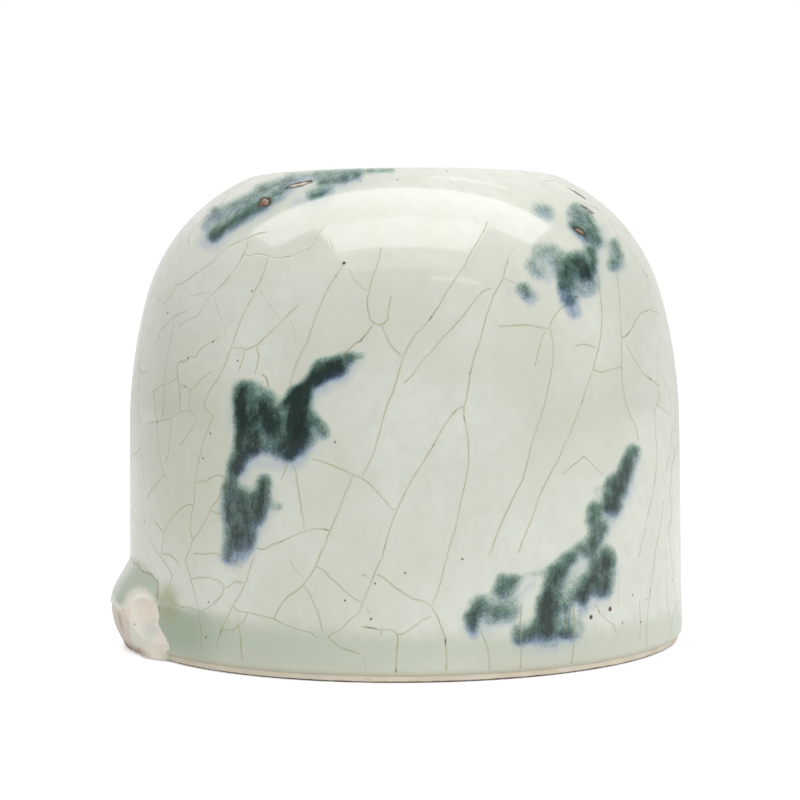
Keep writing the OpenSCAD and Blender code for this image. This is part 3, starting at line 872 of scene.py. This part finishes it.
def lump_stand(turn, z):
    """How far the lump stands out of the wall at a turn in degrees left of the front, and how far inside
    its glaze that is."""
    # Whole mound, with a toe at its front, running softly into the wall
    heights, stands = zip(*MOUND)
    middle = sum(np.interp(z + shift, heights, stands) for shift in (-0.7, 0.0, 0.7)) / 3
    off = abs(turn - MOUND_TURN) / (MOUND_HALF - 1.1 * max(z - 6.5, 0.0) if turn < MOUND_TURN else MOUND_BACK)
    bell = max(1 - off * off, 0.0) ** 1.2
    whole = middle - (1 - bell) * (abs(middle) + 0.8)
    toe = 1.5 * (1 - ((turn - 60.5) / 6) ** 2) * (1 - (z / 6) ** 2) - 0.2 if z < 6 else -1.0
    whole = max(whole, toe, -2.0)
    whole = 0.3 * np.log1p(np.exp(whole / 0.3)) - 0.12
    out, radius = facing(turn), outside_r(z)
    point = out * radius + np.array([0, 0, z])
    whole += 0.1 * ripple(point, 0.35) * smooth_part(whole)

    # Broken face, rough and with a shallow dish
    way = facing(BREAK_TURN, BREAK_TILT)
    snapped = (BREAK_POINT - point) @ way / max(out @ way, 0.2)
    dish = point + out * snapped - on_break(148, 632)
    snapped += 0.4 * max(z - 7.6, 0.0) ** 2 - 0.7 * np.exp(-((dish @ dish) / 7.0))
    snapped += 0.16 * ripple(point, 0.7) + 0.05 * ripple(point, 2.6)
    stand = min(whole, snapped)
    stand -= 1.2 * smooth_part((2.0 - z) / 0.9) * smooth_part((0.15 - stand) / 0.25)

    # Glaze outside the bare outline, and on the far side above a wavy height
    shift = Vector(point * 0.9)
    pixel = seen_at([point + out * stand])[0] + 1.8 * np.array([noise.noise(shift), noise.noise(shift * 1.3)])
    far = smooth_part((turn - 73) / 5)
    left = (1 - far) * -bare_inside(pixel) / 6.9 + far * (z - 6.6 - 0.9 * noise.noise(shift * 0.5))
    return stand, left


# Turn of the middle of the lump's patch and its spread in degrees, and its height
PATCH_TURN, PATCH_SPREAD, PATCH_HEIGHT = 70, 46, 16.2
# Thickness of the skin of glaze, and radius of the back of the lump inside the clay
SKIN, LUMP_BACK_R = 0.35, 41.9


def lump_form(glazed):
    """Patch of the wall that swells into the lump, or the skin of glaze that is left on it."""
    form = bmesh.new()
    bmesh.ops.create_grid(form, x_segments=168, y_segments=72, size=0.5)
    bare, glaze_left = set(), form.verts.layers.float.new("glaze_left")
    for vert in form.verts:
        turn, z = PATCH_TURN - vert.co.x * PATCH_SPREAD, LUMP_LIFT + (vert.co.y + 0.5) * PATCH_HEIGHT
        stand, left = lump_stand(turn, z)
        vert[glaze_left] = left
        if left < -0.7:
            bare.add(vert)
        if glazed:
            skin = 0.25 * smooth_part(left / 0.8) * smooth_part((stand + 0.1) / 0.6) - 0.1 * smooth_part(-left / 0.4)
        else:
            skin = -0.12 * smooth_part(left / 0.5)
        chipped = max(noise.noise(Vector((turn * 0.35, z * 0.6, 3.0))), 0.0)
        chipped *= max(1.5 - z, 0.0) * max(turn - 56, 0.0) * 0.06
        radius = outside_r(z) + stand + skin - min(chipped, 0.7)
        vert.co = facing(turn) * radius + np.array([0, 0, z])
    if glazed:
        bare_faces = [face for face in form.faces if all(vert in bare for vert in face.verts)]
        bmesh.ops.delete(form, geom=bare_faces, context="FACES")
    shell = bmesh.ops.extrude_face_region(form, geom=form.faces[:], use_keep_orig=True)["geom"]
    for vert in shell:
        if isinstance(vert, bmesh.types.BMVert):
            radius = np.hypot(vert.co.x, vert.co.y)
            inner = radius - SKIN if glazed else min(LUMP_BACK_R, radius - SKIN)
            vert.co = (vert.co.x * inner / radius, vert.co.y * inner / radius, vert.co.z)
    bmesh.ops.recalc_face_normals(form, faces=form.faces)
    return form


piece("snapped_lump", lump_form(False), "kiln_lump", broken_biscuit())
piece("lump_coat", lump_form(True), "lump_glaze", pooled_glaze())

# Studio: camera, white floor, soft lamps
SENSOR = 36
camera = bpy.data.objects.new("camera", bpy.data.cameras.new("camera"))
camera.data.lens = SENSOR * FOCUS / PHOTO_SIDE
camera.data.sensor_width = SENSOR
aim = (Matrix.Rotation(atan2(AXIS_X, FOCUS), 4, "Z") @ Matrix.Rotation(pi / 2 - PITCH, 4, "X")
       @ Matrix.Rotation(-ROLL, 4, "Z"))
camera.matrix_world = Matrix.Translation(EYE / 1000) @ aim
bpy.context.scene.collection.objects.link(camera)
bpy.context.scene.camera = camera
bpy.context.scene.view_settings.view_transform = "Standard"


def ray_kinds(start, *kinds):
    """For each kind of ray, 1 where a surface is seen by one."""
    return [start.node("ShaderNodeLightPath", {}, {}, kind) for kind in kinds]


def studio_floor():
    """White floor that glows to the camera and is dimmer in front, where the pot mirrors it."""
    form = bmesh.new()
    bmesh.ops.create_grid(form, x_segments=8, y_segments=8, size=3.0)
    mesh = bpy.data.meshes.new("studio_floor")
    form.to_mesh(mesh)
    form.free()
    made = bpy.data.objects.new("studio_floor", mesh)
    bpy.context.scene.collection.objects.link(made)
    finish = bpy.data.materials.new("studio_floor")
    finish.use_nodes = True
    tree = finish.node_tree
    tree.nodes.clear()
    start = Value(tree)
    seen, through = ray_kinds(start, "Is Camera Ray", "Is Transmission Ray")
    _, along, _ = start.node("ShaderNodeTexCoord", {}, {}, "Object").split()
    dim = along.between(-0.16, -0.7)
    bare = start.node("ShaderNodeBsdfDiffuse", {}, {"Color": dim.over((0.8, 0.8, 0.8, 1), (0.3, 0.3, 0.3, 1))})
    level = seen.most(through) * (0.45 + dim * 0.5)
    glow = start.node("ShaderNodeEmission", {}, {"Color": (1, 1, 1, 1), "Strength": level})
    both = start.node("ShaderNodeAddShader", {}, {0: bare, 1: glow})
    start.node("ShaderNodeOutputMaterial", {}, {"Surface": both})
    mesh.materials.append(finish)


studio_floor()

# White all round for the camera; the pot mirrors a dimmer room, brightest behind it
world = bpy.data.worlds.new("studio")
bpy.context.scene.world = world
world.use_nodes = True
world.node_tree.nodes.clear()
sky = Value(world.node_tree)
way_x, way_y, _ = sky.node("ShaderNodeTexCoord", {}, {}, "Generated").split()
ahead, mirror, through = ray_kinds(sky, "Is Camera Ray", "Is Glossy Ray", "Is Transmission Ray")
room = way_y.between(0.4, 1.0, 0.2, 0.78)
soft = 1.15 + way_x * 0.34 - way_y * 0.3 - abs(way_x) * 0.58
shown = ahead.most(through)
level = shown + (1 - shown) * (mirror * room + (1 - mirror) * soft)
glow = sky.node("ShaderNodeBackground", {}, {"Color": (1, 1, 1, 1), "Strength": level})
sky.node("ShaderNodeOutputWorld", {}, {"Surface": glow})

# Height of the lamps in millimetres
CEILING = 400.0


def softbox(name, left, right, front, back, level, lights_up=False):
    """Level box under the ceiling that looks down, with its edges in millimetres; level is its brightness
    against white. It shows in the glaze, and only some boxes light it up too."""
    data = bpy.data.lights.new(name, "AREA")
    data.shape, data.size, data.size_y = "RECTANGLE", (right - left) / 1000, (back - front) / 1000
    data.energy = level * pi * data.size * data.size_y
    made = bpy.data.objects.new(name, data)
    made.location = ((left + right) / 2000, (front + back) / 2000, CEILING / 1000)
    made.visible_diffuse = lights_up
    bpy.context.scene.collection.objects.link(made)


softbox("ceiling_box", -330, 310, -70, 90, 2.4, lights_up=True)
softbox("ceiling_box_shine", -330, 310, -70, 90, 6.3)
softbox("front_panel", -178, 172, -220, -71, 3.7)
softbox("front_panel_far", -180, 180, -370, -71, 1.2)
softbox("front_tube", -65, 153, -151, -136, 4.0)
softbox("far_tube", 87, 306, -442, -416, 3.0)
softbox("back_tube", 40, 150, 192, 206, 2.0)
